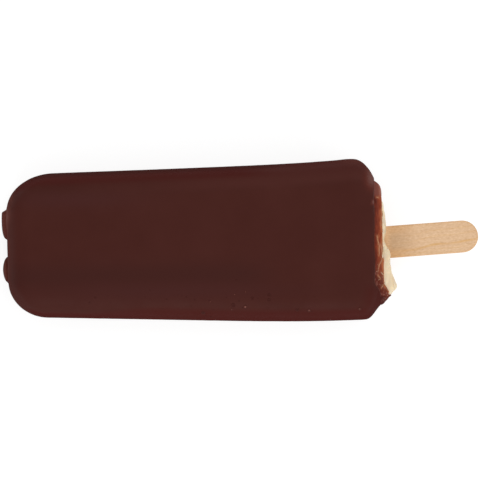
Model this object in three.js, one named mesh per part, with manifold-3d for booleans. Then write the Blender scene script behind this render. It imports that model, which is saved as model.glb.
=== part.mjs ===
// A vanilla ice cream bar in a dark chocolate coating, on a flat birch stick.
//
// Millimetres, +Z up. The bar lies on one broad face. X runs along it, from the closed tip
// to the stick, and Y runs across it. It is a moulded bar: wider and thicker towards the
// stick, so that it leaves its mould, with a rounded tip. The chocolate is a shell that is
// full thickness up to the dip line, thins to a lip past it and ends in a wavy rim, where
// the ice cream core shows round the stick.
import * as THREE from "three";
import { mergeVertices } from "three/addons/utils/BufferGeometryUtils.js";
import Module from "manifold-3d";

const { lerp, smoothstep, degToRad } = THREE.MathUtils;

// Driving dimensions, measured over the chocolate. "Along" is the distance from the tip.
const TIP_WIDTH = 44.3;
const TIP_THICKNESS = 21;
const WIDTH_DRAFT = 0.0572; // width gained for each millimetre along
const THICKNESS_DRAFT = 0.035; // thickness gained for each millimetre along
const SECTION_CORNER = 8.5; // radius of the long edges
const CORNER_SHARE = 0.85; // most of a small section's half height that its corner takes
const TIP_SLANT = 0.015; // the tip face isn't quite square to the bar
const TIP_SQUARE_AT = 115; // along the bar, where that slant has faded out
const BEND_FROM = 60.25; // the bar curves to +Y from here on
const BEND_REACH = 43.75; // it has moved by BEND_SHIFT after this length
const BEND_SHIFT = 0.74;

const COAT = 1.2; // chocolate on the body
const LIP = 0.45; // chocolate past the dip line
const FIT = 0.3; // clearance between neighbouring pieces
const WALL = COAT + FIT;
const DIP_LINE = 115; // along
const DIP_FADE = 0.5; // half the length over which the coat thins
const DIP_CLIMB = 3; // how much further the thick coat reaches at the -Y corner
const DIP_CLIMB_FROM = 12;
const DIP_CLIMB_TO = 17.8;
const RIM_WAVE = 0.05; // waviness of the rim, as a share of the end's profile

// Corner arcs of the core at the tip, as the length along and the inset across.
const TIP_CORNERS = {
  right: { along: 13.2, across: 9.9 },
  left: { along: 10.7, across: 9.5 },
  face: { along: 6.5, across: 6.3 },
};

// How the core draws in at the stick end, from the straight side to the rim of the
// chocolate, as points of (along, inset from the side). Right is +Y and left is -Y.
const STICK_END = {
  right: [
    [102.5, 0],
    [107.5, 0],
    [109.8, 0.7],
    [111.8, 2.8],
    [113.2, 5.7],
    [116, 8.2],
    [116.4, 12],
  ],
  left: [
    [104.5, 0],
    [108, 0],
    [111, 0],
    [112.5, 0.5],
    [115.4, 3.9],
    [117.2, 4.1],
    [119.3, 6.1],
  ],
  face: [
    [105.5, 0],
    [109, 0],
    [112.1, 0.7],
    [113.9, 2.4],
    [115.1, 4],
    [116, 5.4],
    [116.6, 6.4],
  ],
};

// The bare ice cream past the rim. Its end leans, is dented round the stick, rises to a crest
// near the -Y side and drops from there to the rim.
const NOSE_END = 119.05;
const NOSE_LEAN = 0.12;
const NOSE_BLUNTNESS = 8;
const NOSE_DENT = { y: 0.4, depth: 0.9, spread: 2 };
const CREST = { from: -9.6, top: -13.6, foot: -16.8, height: 1.1, drop: 2.6 }; // from to foot: y
const NOSE_ROUGHNESS = 0.25;
const NOSE_ROUGH_FROM = 0.25; // share of the way to its middle line where the lumps are full

const STICK = {
  length: 114,
  width: 10,
  thickness: 2,
  edge: 0.25, // rounding of its edges
  farEnd: 147.1, // along
  pivot: 119, // along, where its middle crosses the bar's centre line
  yaw: degToRad(3.75),
  pitch: Math.atan(THICKNESS_DRAFT / 2),
};

// Chocolate that ran down and set on the tip while the bar hung by its stick.
const DRIPS = [
  { y: 6.5, z: 9.6, halfWidth: 4.6, halfHeight: 3.6, squareness: 5, proud: 1.6 },
  { y: -7.3, z: 8.8, halfWidth: 4.2, halfHeight: 4, squareness: 2, proud: 1.5 },
];
const DRIP_REACH = 12; // along, the drips stay within this of the tip

// Mesh fineness.
const SIDE_STEPS = 2; // straight half side, straight half face and corner of the section
const FACE_STEPS = 7;
const CORNER_STEPS = 6;
const ROUND_STEPS = 14; // half circle of the stick's ends
const EDGE_STEPS = 2; // rounding of the stick's edges
const RINGS = { tipFace: 4, tipCorner: 7, body: 5, stickEnd: 9, nose: 6 };
const MIDDLE_LINE = 0.6; // an end's rings draw in to a line this share of their width
const NOSE_CROWDING = 1.4; // above 1, the nose's rings crowd towards the rim

// The meridian runs from the middle of the tip (0) to the rim of the chocolate (4), which is
// wavy past WAVE_START.
const TIP_EDGE = 1;
const BODY_START = 2;
const BODY_END = 3;
const WAVE_START = 3.4;
const RIM = 4;

const wasm = await Module();
wasm.setup();

// Half the core's width and thickness on its straight length.
const halfWidth = (along) => (TIP_WIDTH + WIDTH_DRAFT * along) / 2 - WALL;
const halfThickness = (along) => (TIP_THICKNESS + THICKNESS_DRAFT * along) / 2 - WALL;
const middleHeight = (along) => WALL + halfThickness(along);
const bend = (along) => BEND_SHIFT * Math.max(0, (along - BEND_FROM) / BEND_REACH) ** 3;

const endCurves = Object.fromEntries(
  Object.entries(STICK_END).map(([name, points]) => [
    name,
    new THREE.SplineCurve(points.map(([along, inset]) => new THREE.Vector2(along, inset))),
  ]),
);

// Where the core's side is at meridian t: its distance along, and its inset from the side.
function meridian(name, t) {
  const corner = TIP_CORNERS[name];
  if (t <= BODY_START) {
    const turn = (Math.max(t, TIP_EDGE) - TIP_EDGE) * (Math.PI / 2);
    return {
      along: WALL + corner.along * (1 - Math.cos(turn)),
      inset: corner.across * (1 - Math.sin(turn)),
    };
  }
  const [endStart] = STICK_END[name][0];
  if (t <= BODY_END) {
    return { along: lerp(WALL + corner.along, endStart, t - BODY_START), inset: 0 };
  }
  const { x, y } = endCurves[name].getPoint(Math.min(t, RIM) - BODY_END);
  return { along: x, inset: y };
}

// A quarter of the section, from its side (1) to its face (0), for a ring with this reach
// across and this reach up. Each point has its share of "side".
function quarterSection(across, up) {
  const radius = Math.min(SECTION_CORNER - WALL, CORNER_SHARE * Math.min(across, up));
  const points = [];
  for (let i = 0; i < SIDE_STEPS; i++) {
    points.push({ y: across, z: ((up - radius) * i) / SIDE_STEPS, side: 1 });
  }
  for (let i = 0; i < CORNER_STEPS; i++) {
    const turn = (i / CORNER_STEPS) * (Math.PI / 2);
    points.push({
      y: across - radius + radius * Math.cos(turn),
      z: up - radius + radius * Math.sin(turn),
      side: Math.cos(turn) ** 2,
    });
  }
  for (let i = 0; i <= FACE_STEPS; i++) {
    points.push({ y: (across - radius) * (1 - i / FACE_STEPS), z: up, side: 0 });
  }
  return points;
}

// The core's smooth surface: one ring of points at meridian t. Inside the tip's edge the
// rings draw in to a line across the middle.
function coreRing(t) {
  const sides = { right: meridian("right", t), left: meridian("left", t) };
  const face = meridian("face", t);
  const shareOut = Math.min(t, TIP_EDGE);
  const up = halfThickness(face.along) - face.inset;
  const ring = [];
  const addQuarter = (name, upSign, reversed) => {
    const side = sides[name];
    const sign = name === "right" ? 1 : -1;
    const quarter = quarterSection(halfWidth(side.along) - side.inset, up);
    if (reversed) quarter.reverse();
    quarter.slice(0, -1).forEach((point) => {
      const along = lerp(face.along, side.along, point.side);
      const y = sign * point.y * lerp(MIDDLE_LINE, 1, shareOut);
      ring.push(
        new THREE.Vector3(
          along - TIP_SLANT * y * (1 - along / TIP_SQUARE_AT),
          y + bend(along),
          middleHeight(along) + upSign * point.z * shareOut,
        ),
      );
    });
  };
  addQuarter("right", 1, false);
  addQuarter("left", 1, true);
  addQuarter("left", -1, false);
  addQuarter("right", -1, true);
  return ring;
}

// How far the ice cream's bare end reaches at this place across.
function noseEnd(y) {
  const dent = NOSE_DENT.depth * Math.exp(-(((y - NOSE_DENT.y) / NOSE_DENT.spread) ** 2));
  const crest = CREST.height * smoothstep(-y, -CREST.from, -CREST.top);
  const drop = CREST.drop * smoothstep(-y, -CREST.top, -CREST.foot);
  return NOSE_END - NOSE_LEAN * y - dent + crest - drop;
}

// Soft lumps of the bare ice cream.
const lumps = (y, z) => Math.sin(0.7 * y + 0.5 * z) * Math.cos(0.9 * z - 0.3 * y);

// Rings past the rim draw in from the rim ring to a line across the middle of the nose.
function noseRing(rim, share) {
  return rim.map((edge) => {
    const y = edge.y * lerp(1, MIDDLE_LINE, share);
    const z = lerp(edge.z, middleHeight(NOSE_END), share);
    const rise = Math.sqrt(1 - (1 - share) ** NOSE_BLUNTNESS);
    const rough = NOSE_ROUGHNESS * lumps(y, z) * Math.min(1, share / NOSE_ROUGH_FROM);
    return new THREE.Vector3(lerp(edge.x, noseEnd(y), rise) + rough, y, z);
  });
}

const rimWave = (turn) => 0.6 * Math.sin(3 * turn + 1) + 0.4 * Math.sin(7 * turn);

// All rings of the core from tip to rim. The last rings follow the wavy rim.
function coatedRings() {
  const stops = [];
  for (let i = 1; i <= RINGS.tipFace; i++) stops.push(i / RINGS.tipFace);
  for (let i = 1; i <= RINGS.tipCorner; i++) stops.push(TIP_EDGE + i / RINGS.tipCorner);
  for (let i = 1; i <= RINGS.body; i++) stops.push(BODY_START + i / RINGS.body);
  for (let i = 1; i <= RINGS.stickEnd; i++) stops.push(BODY_END + i / RINGS.stickEnd);
  return stops.map((t) => {
    const wave = RIM_WAVE * smoothstep(t, WAVE_START, RIM);
    const ring = coreRing(t);
    if (wave === 0) return ring;
    const before = coreRing(t - wave);
    return ring.map((point, i) => {
      const turn = (i / ring.length) * Math.PI * 2;
      return point.clone().lerp(before[i], (1 + rimWave(turn)) / 2);
    });
  });
}

// Outward normals of a grid of rings, from the differences between neighbours.
function ringNormals(rings) {
  return rings.map((ring, i) =>
    ring.map((_, j) => {
      const ahead = rings[Math.min(i + 1, rings.length - 1)][j];
      const behind = rings[Math.max(i - 1, 0)][j];
      const next = ring[(j + 1) % ring.length];
      const previous = ring[(j + ring.length - 1) % ring.length];
      const lengthwise = ahead.clone().sub(behind);
      return next.clone().sub(previous).cross(lengthwise).normalize();
    }),
  );
}

// The rings moved out along their normals, and never below the face that the bar lies on.
function offsetRings(rings, normals, distance) {
  return rings.map((ring, i) =>
    ring.map((point, j) => {
      const moved = point.clone().addScaledVector(normals[i][j], distance(point));
      moved.z = Math.max(moved.z, WALL - distance(point));
      return moved;
    }),
  );
}

// A point of the tip's face moves out where a drip is: a low dome with a squarish outline.
function addDrips(point) {
  for (const drip of DRIPS) {
    const across = Math.abs((point.y - drip.y) / drip.halfWidth) ** drip.squareness;
    const up = ((point.z - drip.z) / drip.halfHeight) ** 2;
    const share = Math.max(0, 1 - across - up);
    if (point.x < DRIP_REACH) point.x -= drip.proud * Math.sqrt(share);
  }
}

function coatThickness(point) {
  const climb = DIP_CLIMB * smoothstep(-point.y, DIP_CLIMB_FROM, DIP_CLIMB_TO);
  const line = DIP_LINE + climb - COAT;
  return lerp(COAT, LIP, smoothstep(point.x, line - DIP_FADE, line + DIP_FADE));
}

// A closed geometry through rings of equal length. The first and the last ring are closed by
// strips between their upper and lower points, which pair up as j and count - j.
function ringGeometry(rings) {
  const count = rings[0].length;
  const at = (ring, j) => ring * count + (j % count);
  const index = [];
  const quad = (a, b, c, d) => {
    if (a !== b && c !== a) index.push(a, b, c);
    if (c !== d && d !== a) index.push(a, c, d);
  };
  for (let i = 0; i < rings.length - 1; i++) {
    for (let j = 0; j < count; j++) quad(at(i, j), at(i, j + 1), at(i + 1, j + 1), at(i + 1, j));
  }
  const end = rings.length - 1;
  for (let j = 0; j < count / 2; j++) {
    quad(at(0, j + 1), at(0, j), at(0, count - j), at(0, count - j - 1));
    quad(at(end, j), at(end, j + 1), at(end, count - j - 1), at(end, count - j));
  }
  const geometry = new THREE.BufferGeometry().setFromPoints(rings.flat());
  geometry.setIndex(index);
  return geometry;
}

function solidOf(geometry) {
  const bare = new THREE.BufferGeometry();
  bare.setAttribute("position", geometry.getAttribute("position"));
  bare.setIndex(geometry.getIndex());
  const merged = mergeVertices(bare, 1e-4);
  return new wasm.Manifold(
    new wasm.Mesh({
      numProp: 3,
      vertProperties: new Float32Array(merged.getAttribute("position").array),
      triVerts: new Uint32Array(merged.getIndex().array),
    }),
  );
}

function geometryOf(solid) {
  const { vertProperties, triVerts } = solid.getMesh();
  const geometry = new THREE.BufferGeometry();
  geometry.setAttribute("position", new THREE.BufferAttribute(vertProperties, 3));
  geometry.setIndex(new THREE.BufferAttribute(triVerts, 1));
  geometry.computeVertexNormals();
  return geometry;
}

// A slat with round ends and softened edges, grown by the given clearance, its length
// along X and its far end at the origin.
function slatGeometry(clearance) {
  const { length, width, thickness, edge } = STICK;
  const radius = width / 2 - edge;
  const outline = new THREE.Shape();
  outline.absarc(-width / 2, 0, radius + clearance, -Math.PI / 2, Math.PI / 2);
  outline.absarc(width / 2 - length, 0, radius + clearance, Math.PI / 2, -Math.PI / 2);
  const depth = thickness - 2 * edge + 2 * clearance;
  const slat = new THREE.ExtrudeGeometry(outline, {
    depth,
    curveSegments: ROUND_STEPS,
    bevelSize: edge,
    bevelThickness: edge,
    bevelSegments: EDGE_STEPS,
  });
  return slat.translate(0, 0, -depth / 2);
}

function placeStick(object) {
  const reach = STICK.farEnd - STICK.pivot;
  object.position.set(
    STICK.farEnd,
    reach * Math.tan(STICK.yaw),
    middleHeight(STICK.pivot) + reach * Math.tan(STICK.pitch),
  );
  object.rotation.set(0, -STICK.pitch, STICK.yaw, "ZYX");
  object.updateMatrix();
  return object;
}

const rings = coatedRings();
const normals = ringNormals(rings);

const outside = offsetRings(rings, normals, (point) => FIT + coatThickness(point));
outside.forEach((ring) => ring.forEach(addDrips));
const inside = offsetRings(rings, normals, () => FIT);
const coat = solidOf(ringGeometry([...outside, ...inside.toReversed()]));

const rim = rings.at(-1);
const noseRings = [];
for (let i = 1; i < RINGS.nose; i++) {
  noseRings.push(noseRing(rim, (i / RINGS.nose) ** NOSE_CROWDING));
}
const slot = geometryOf(solidOf(slatGeometry(FIT))).applyMatrix4(
  placeStick(new THREE.Object3D()).matrix,
);
const core = solidOf(ringGeometry([...rings, ...noseRings])).subtract(solidOf(slot));

function piece(name, geometry, color, roughness) {
  const mesh = new THREE.Mesh(
    geometry,
    new THREE.MeshStandardMaterial({ color, roughness, metalness: 0 }),
  );
  mesh.name = name;
  return mesh;
}

const bar = new THREE.Group();
bar.add(
  piece("coating", geometryOf(coat), 0x472420, 0.4),
  piece("ice_cream", geometryOf(core), 0xf0dcba, 0.6),
  placeStick(piece("stick", geometryOf(solidOf(slatGeometry(0))), 0xdeb993, 0.75)),
);

// The origin is under the middle of the whole, on the surface that it lies on.
const box = new THREE.Box3().setFromObject(bar, true);
const middle = box.getCenter(new THREE.Vector3());
bar.position.set(-middle.x, -middle.y, -box.min.z);

const iceCreamBar = new THREE.Group();
iceCreamBar.add(bar);
export default iceCreamBar;
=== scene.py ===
# A vanilla ice cream bar in dark chocolate on a birch stick, lying on a pale floor.
# Sizes are in millimetres and are turned into metres where a mesh is made.
import math
import bpy
import numpy as np
from mathutils import Euler, Matrix, Vector, noise


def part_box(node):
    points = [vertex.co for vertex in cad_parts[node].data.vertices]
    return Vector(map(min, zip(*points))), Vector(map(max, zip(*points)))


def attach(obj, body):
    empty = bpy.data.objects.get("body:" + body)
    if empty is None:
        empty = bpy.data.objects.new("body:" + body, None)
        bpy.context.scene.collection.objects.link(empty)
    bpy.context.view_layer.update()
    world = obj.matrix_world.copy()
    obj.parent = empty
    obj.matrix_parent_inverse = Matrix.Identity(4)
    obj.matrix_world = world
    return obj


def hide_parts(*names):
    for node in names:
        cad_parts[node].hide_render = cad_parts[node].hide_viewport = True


mm = 0.001
even = (1, 1, 1)  # not drawn out along any axis
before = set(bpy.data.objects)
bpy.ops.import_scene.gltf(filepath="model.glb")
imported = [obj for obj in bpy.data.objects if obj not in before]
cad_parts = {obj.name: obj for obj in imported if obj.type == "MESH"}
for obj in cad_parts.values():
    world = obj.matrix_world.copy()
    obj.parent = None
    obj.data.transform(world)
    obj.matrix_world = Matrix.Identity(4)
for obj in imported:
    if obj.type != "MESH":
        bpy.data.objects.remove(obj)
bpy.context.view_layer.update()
scene = bpy.context.scene
print("frame loaded:", ", ".join(sorted(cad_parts)))


def lerp(a, b, share):
    return a + (b - a) * share


def smooth(x, low, high):
    share = np.clip((x - low) / (high - low), 0, 1)
    return share * share * (3 - 2 * share)


def bell(x, middle, spread):
    return np.exp(-((x - middle) / spread) ** 2)


def valueAt(table, place):
    return np.interp(place, *np.array(table).T)


def noiseAt(points, high, size, seed, drawnOut=even):
    # smooth noise this high either way at an array of points, with lumps of this size
    shift = Vector((17.3 * seed, -9.1 * seed, 5.7 * seed))
    flat = points.reshape(-1, 3) / (np.array(drawnOut) * size)
    values = [noise.noise(Vector(point) + shift) for point in flat]
    return high * np.array(values).reshape(points.shape[:-1])


# The moulded bar. "Along" is the distance from the tip of the coat.
bar = {
    "tipWidth": 44.3, "widthDraft": 0.0572,
    "tipThickness": 21.0, "thicknessDraft": 0.035,
    "longEdge": 8.5,  # radius of the long edges
    "edgeShare": 0.85,  # most of a small section's half height that its edge takes
    "tipSlant": 0.015, "tipSquareAt": 115.0,
    "bendFrom": 60.25, "bendReach": 43.75, "bendShift": 0.74,
    "middleLine": 0.6,  # an end draws in to a line this share of its width
}
# Noise in shapes is (height, size, seed, drawn out by).
coat = {
    "thick": 1.2, "lip": 0.45, "fit": 0.3, "leastLip": 0.5,
    "dipLine": 114.85, "dipFade": 0.35, "dipWander": (0.15, 5, 3),
    "longFade": 0.95, "longFadeFrom": (13.0, 16.5),  # it thins more slowly at the left corner
    "tintFade": (-0.3, 0.75),  # the lip's lighter colour sets in over this distance
    # how much further on in its colours the lip is, as (y, share)
    "lipAhead": [(-12, -0.03), (-8, -0.03), (-5, 0), (-3.5, 0.09), (-1, 0.06), (1, 0), (3, 0.05), (5, 0),
                 (8.5, -0.02), (9.8, -0.17), (12.3, -0.17), (13, 0)],
    "climb": 3.0, "climbFrom": (12.0, 17.8),
    # waves and tears of the rim: how many round it, phase, height
    "rimWave": 0.025, "waves": [(3, 1, 0.6), (7, 0, 0.4)], "waveStart": 3.4, "reachStart": 3.6,
    "rimRagged": 0.0055, "tears": [(23, 0.7, 1), (41, 0, 0.7), (67, 2, 0.5)],
    # how much further the lip reaches over the ice cream, as (y, millimetres)
    "rimReach": [(-18, -0.2), (-17.4, -0.28), (-17, 0.15), (-16.7, 0.65), (-16.3, 0.92), (-15.6, 0.93),
                 (-15, 0.85), (-14.2, 0.45), (-13, 0.38), (-11, 0.25), (-9, 0.32), (-6.5, 0.4),
                 (-4.5, 0.1), (-2, 0), (1, -0.1), (5, -0.05), (9, -0.15), (14, -0.15)],
    "swell": (0.1, 22.0, 1, (2, 1, 1)), "peel": (0.018, 2.2, 2),  # slow and fine unevenness
    "bead": 0.05, "beadWidth": 1.1,  # thicker band where the thick coat ends
    "lipStreak": (0.09, 0.8, 4, (1, 3, 1)),
    "bubbleBand": (-19.0, 4.5),  # y and half width of the band with air bubbles
    # pale patches, painted highlights where edges catch the light, at the right corner partly scuffs: x,
    # y, half length, half width, strength
    "highlightAndScuff": [(41.4, 19.3, 2.2, 3.4, 0.9), (36.0, 25.0, 6.0, 1.8, 0.25), (-72.8, 8.6, 0.95, 3.4, 0.5),
               (-73.0, 4.0, 0.6, 3.0, 0.3), (-74.4, 5.8, 0.9, 5.0, 0.27), (-73.6, -8.2, 1.3, 4.5, 0.36),
               (-71.0, 9.0, 2.4, 2.0, 0.08), (41.75, 11.7, 0.6, 0.7, 1.1), (41.0, 11.0, 0.6, 0.35, 0.25),
               (-71.4, 14.6, 1.1, 2.4, 0.25), (-72.2, -0.9, 0.5, 2.4, 0.14)],
    "highlightAndScuffUp": (-0.15, 0.2), "highlightAndScuffTip": 0.12, "tipFrom": (0.65, 0.98),
    # The redder edge colour is partly the thin coat on the long edges and partly painted shade where the
    # surface tilts away, at the tip and the right corner too.
    "redderTip": 0.12, "redderTipFrom": (0.25, 0.6),
    # how far the surface tilts where the redder colour sets in, and on the left edge near the tip
    "redderTilt": (0.45, 0.75), "redderTiltTip": (0.7, 0.9), "nearTip": (-25.0, -50.0),
    "redderTo": (0.0, 14.0), "redderLeast": 0.35,  # the redder right edge fades to this share, in x
    "redderUpright": 0.2, "facesUp": (0, 0.25),  # share of the redder colour on the upright sides
    "redderCorner": 0.6, "cornerFrom": (37.0, 42.0),
    "steepFrom": (-0.75, -0.2),
    # a slightly darker strip along the face: its middle and half width in y, where it ends in x
    "shadedBand": (-10.4, 4.2), "shadedTo": (15.0, 0.0),
    "cool": [(-52, 13.4, 20, 2.8, 0.9), (-25, -15.6, 38, 2.6, 0.8)],  # cooler patches
    # painted shade along the very edge on the right, where it turns down
    "paintedEdgeShadeTilt": (0.8, 0.95), "paintedEdgeShadeTo": (20.0, 7.0),  # darker at the very edge on the right
    # painted light lifting a slightly paler band on the right long edge: its tilt, and its fade in x
    "paintedLightTilt": (0.05, 0.4), "paintedLightTiltTo": (0.97, 0.85), "paintedLightFrom": (-55.0, 5.0),
    "creamFrom": (6.0, 13.0), "levelFrom": (0.3, 0.7),  # cream specks on the lip, from this -y
    "filmFrom": (0, 0.5),
}
wall = coat["thick"] + coat["fit"]

# How the core rounds off at the tip, and how it draws in at the stick end to the rim of the
# chocolate, as (along, inset). Right is +Y, left is -Y.
tipCorners = {"right": (13.2, 9.9), "left": (10.7, 9.5), "face": (6.5, 6.3)}
stickEnd = {
    "right": [(102.5, 0), (107.5, 0), (109.8, 0.7), (111.8, 2.8), (113.2, 5.7), (116, 8.2), (116.4, 12)],
    "left": [(104.5, 0), (108, 0), (111, 0), (112.5, 0.5), (115.4, 3.9), (117.2, 4.1), (119.3, 6.1)],
    "face": [(105.5, 0), (109, 0), (112.1, 0.7), (113.9, 2.4), (115.1, 4), (116, 5.4), (116.6, 6.4)],
}

# The meridian runs from the middle of the tip (0) over its edge (1) and the straight body
# (2 to 3) to the rim (4).
fineness = {"side": 8, "edge": 24, "face": 56}


def stopsAlong(*stretches):
    # places on the meridian, by stretches of (from, to, how many)
    return np.concatenate([np.linspace(*stretch, endpoint=False) for stretch in stretches] + [[4.0]])


outsideStops = stopsAlong((0.1, 1, 13), (1, 2, 29), (2, 3, 109), (3, 3.45, 23), (3.45, 4, 63))
insideStops = stopsAlong((0.1, 0.9, 2), (1, 2, 6), (2, 3, 5), (3, 4, 13))


def halfWidth(along):
    return (bar["tipWidth"] + bar["widthDraft"] * along) / 2 - wall


def halfThickness(along):
    return (bar["tipThickness"] + bar["thicknessDraft"] * along) / 2 - wall


def middleHeight(along):
    return wall + halfThickness(along)


def bend(along):
    return bar["bendShift"] * np.maximum(0, (along - bar["bendFrom"]) / bar["bendReach"]) ** 3


def curveThrough(points, share):
    # a Catmull-Rom curve, the same as the one that shapes the solid
    p = np.array(points, float)
    last = len(p) - 1
    place = np.clip(share, 0, 1) * last
    i = np.minimum(np.floor(place).astype(int), last)
    w = (place - i)[..., None]
    p0, p1 = p[np.maximum(i - 1, 0)], p[i]
    p2, p3 = p[np.minimum(i + 1, last)], p[np.minimum(i + 2, last)]
    v0, v1 = (p2 - p0) / 2, (p3 - p1) / 2
    at = (2 * p1 - 2 * p2 + v0 + v1) * w ** 3 + (-3 * p1 + 3 * p2 - 2 * v0 - v1) * w ** 2 + v0 * w + p1
    return at[..., 0], at[..., 1]


def meridian(side, t):
    reach, inset = tipCorners[side]
    turn = np.clip(t - 1, 0, 1) * math.pi / 2
    tip = (wall + reach * (1 - np.cos(turn)), inset * (1 - np.sin(turn)))
    body = lerp(wall + reach, stickEnd[side][0][0], t - 2)
    end = curveThrough(stickEnd[side], t - 3)
    along = np.where(t <= 2, tip[0], np.where(t <= 3, body, end[0]))
    return along, np.where(t <= 2, tip[1], np.where(t <= 3, 0, end[1]))


def aroundPoints():
    # for each point of a ring: its side (+1 right), up or down, its stretch and its share of that
    quarter = [(0, i / fineness["side"]) for i in range(fineness["side"])]
    quarter += [(1, i / fineness["edge"]) for i in range(fineness["edge"])]
    quarter += [(2, i / fineness["face"]) for i in range(fineness["face"] + 1)]
    points = []
    for side, up, backwards in ((1, 1, 0), (-1, 1, 1), (-1, -1, 0), (1, -1, 1)):
        steps = quarter[::-1] if backwards else quarter
        points += [(side, up, stretch, share) for stretch, share in steps[:-1]]
    points = np.array(points).T
    return points[0], points[1], points[2].astype(int), points[3]


ringSide, ringUp, ringStretch, ringShare = aroundPoints()
ringCount = len(ringSide)
turns = np.arange(ringCount) / ringCount * 2 * math.pi


def coreSurface(t):
    # the ice cream's smooth surface at meridian t, an array with a row for each ring
    faceAlong, faceInset = meridian("face", t)
    rightAlong, rightInset = meridian("right", t)
    leftAlong, leftInset = meridian("left", t)
    onRight = ringSide > 0
    sideAlong = np.where(onRight, rightAlong, leftAlong)
    across = halfWidth(sideAlong) - np.where(onRight, rightInset, leftInset)
    high = halfThickness(faceAlong) - faceInset
    corner = np.minimum(bar["longEdge"] - wall, bar["edgeShare"] * np.minimum(across, high))
    turn = ringShare * math.pi / 2
    y = np.choose(ringStretch, [across, across - corner * (1 - np.cos(turn)),
                                (across - corner) * (1 - ringShare)])
    z = np.choose(ringStretch, [(high - corner) * ringShare, high - corner * (1 - np.sin(turn)), high])
    sideShare = np.choose(ringStretch, [1, np.cos(turn) ** 2, 0])
    out = np.minimum(t, 1)
    along = lerp(faceAlong, sideAlong, sideShare)
    y = ringSide * y * lerp(bar["middleLine"], 1, out)
    return np.stack([along - bar["tipSlant"] * y * (1 - along / bar["tipSquareAt"]),
                     y + bend(along), middleHeight(along) + ringUp * z * out], -1)


def raggedT(stops):
    # the last rings follow the wavy, slightly torn rim
    t = np.repeat(stops[:, None], ringCount, 1)
    late = smooth(t, coat["waveStart"], 4)
    wave, tear = [sum(high * np.sin(count * turns + phase) for count, phase, high in coat[name])
                  for name in ("waves", "tears")]
    return t - coat["rimWave"] * late * (1 + wave) - coat["rimRagged"] * late ** 2 * (2 + tear)


def reachOut(grid, stops):
    # the lip's uneven reach, which the ice cream under it follows
    reach = valueAt(coat["rimReach"], grid[..., 1] + origin[1] / mm)
    reach = np.where(ringUp > 0, reach, np.minimum(reach, 0))
    grid[..., 0] += smooth(stops, coat["reachStart"], 4)[:, None] * reach
    return grid


def gridNormals(grid):
    lengthwise = np.empty_like(grid)
    lengthwise[1:-1] = grid[2:] - grid[:-2]
    lengthwise[0], lengthwise[-1] = grid[1] - grid[0], grid[-1] - grid[-2]
    around = np.roll(grid, -1, 1) - np.roll(grid, 1, 1)
    normal = np.cross(around, lengthwise)
    return normal / np.linalg.norm(normal, axis=-1, keepdims=True)


def newPiece(name, points, edges, faces):
    # points in millimetres, in the bar's own frame
    mesh = bpy.data.meshes.new(name)
    mesh.from_pydata((np.array(points, float).reshape(-1, 3) * mm + origin).tolist(), edges, faces)
    mesh.polygons.foreach_set("use_smooth", [True] * len(mesh.polygons))
    mesh.validate()
    piece = bpy.data.objects.new(name, mesh)
    scene.collection.objects.link(piece)
    return piece


def meshFromRings(name, grid):
    # a closed mesh through rings, both ends closed by strips from the upper to the lower points
    rings, count = grid.shape[:2]
    faces = []
    for i in range(rings - 1):
        a, b = i * count, (i + 1) * count
        faces += [(a + j, a + (j + 1) % count, b + (j + 1) % count, b + j) for j in range(count)]
    last = (rings - 1) * count
    for j in range(count // 2):
        first = [j + 1, j, (count - j) % count, count - j - 1]
        end = [last + j, last + j + 1, last + count - j - 1, last + (count - j) % count]
        faces += [tuple(dict.fromkeys(first)), tuple(dict.fromkeys(end))]
    return newPiece(name, grid, [], faces)


def storeAttribute(piece, name, values):
    attribute = piece.data.attributes.new(name, "FLOAT", "POINT")
    attribute.data.foreach_set("value", np.array(values).reshape(-1).astype(np.float32))


# The stick, and where the bar's own frame sits in the model's frame
stick = {
    "length": 114.0, "width": 10.0, "thickness": 2.0, "edge": 0.3,
    "farEnd": 147.1,  # along
    "pivot": 119.0,  # along, where its middle crosses the bar's centre line
    "yaw": math.radians(3.75),
    "pitch": math.atan(bar["thicknessDraft"] / 2),
    "columns": 300, "rows": 61, "layers": 7,
    "fibre": 0.035, "fibreSize": (14.0, 0.4, 0.4), "merge": 0.002,
}
stickReach = stick["farEnd"] - stick["pivot"]
stickEndPoint = Vector((stick["farEnd"], stickReach * math.tan(stick["yaw"]),
                        middleHeight(stick["pivot"]) + stickReach * math.tan(stick["pitch"])))
stickRound = stick["width"] / 2
farMost = Vector((stickEndPoint.x + stickRound * (1 - math.cos(stick["yaw"])),
                  stickEndPoint.y + stickRound * (1 - math.sin(stick["yaw"]))))
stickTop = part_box("stick")[1]
origin = np.array([stickTop.x - farMost.x * mm, stickTop.y - farMost.y * mm, 0])
print("bar frame starts at", [round(x / mm, 2) for x in origin])


# Nodes for materials and Geometry Nodes alike, added to the tree that was started last
trees = []


def fill(node, inputs):
    # links or sets inputs by name or number
    for key, value in dict(inputs).items():
        if isinstance(value, bpy.types.NodeSocket):
            trees[-1].links.new(value, node.inputs[key])
        else:
            node.inputs[key].default_value = value


def addNode(kind, inputs=(), **settings):
    node = trees[-1].nodes.new(kind)
    for key, value in settings.items():
        setattr(node, key, value)
    fill(node, inputs)
    return node.outputs


def calc(operation, *values):
    return addNode("ShaderNodeMath", enumerate(values), operation=operation)[0]


def times(a, b):
    return calc("MULTIPLY", a, b)


def plus(a, b):
    return calc("ADD", a, b)


def minus(a, b):
    return calc("SUBTRACT", a, b)


def fade(value, low, high, unit=1):
    # 0 below low and 1 above high, or the other way round where low is the larger
    inputs = {"Value": value, "From Min": low * unit, "From Max": high * unit}
    return addNode("ShaderNodeMapRange", inputs, interpolation_type="SMOOTHSTEP")["Result"]


# Patterns are on object coordinates or on a piece's own attribute, in metres.
def newMaterial(name, inputs):
    material = bpy.data.materials.new(name)
    material.use_nodes = True
    trees.append(material.node_tree)
    shader = trees[-1].nodes["Principled BSDF"]
    fill(shader, inputs)
    return material, shader


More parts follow.
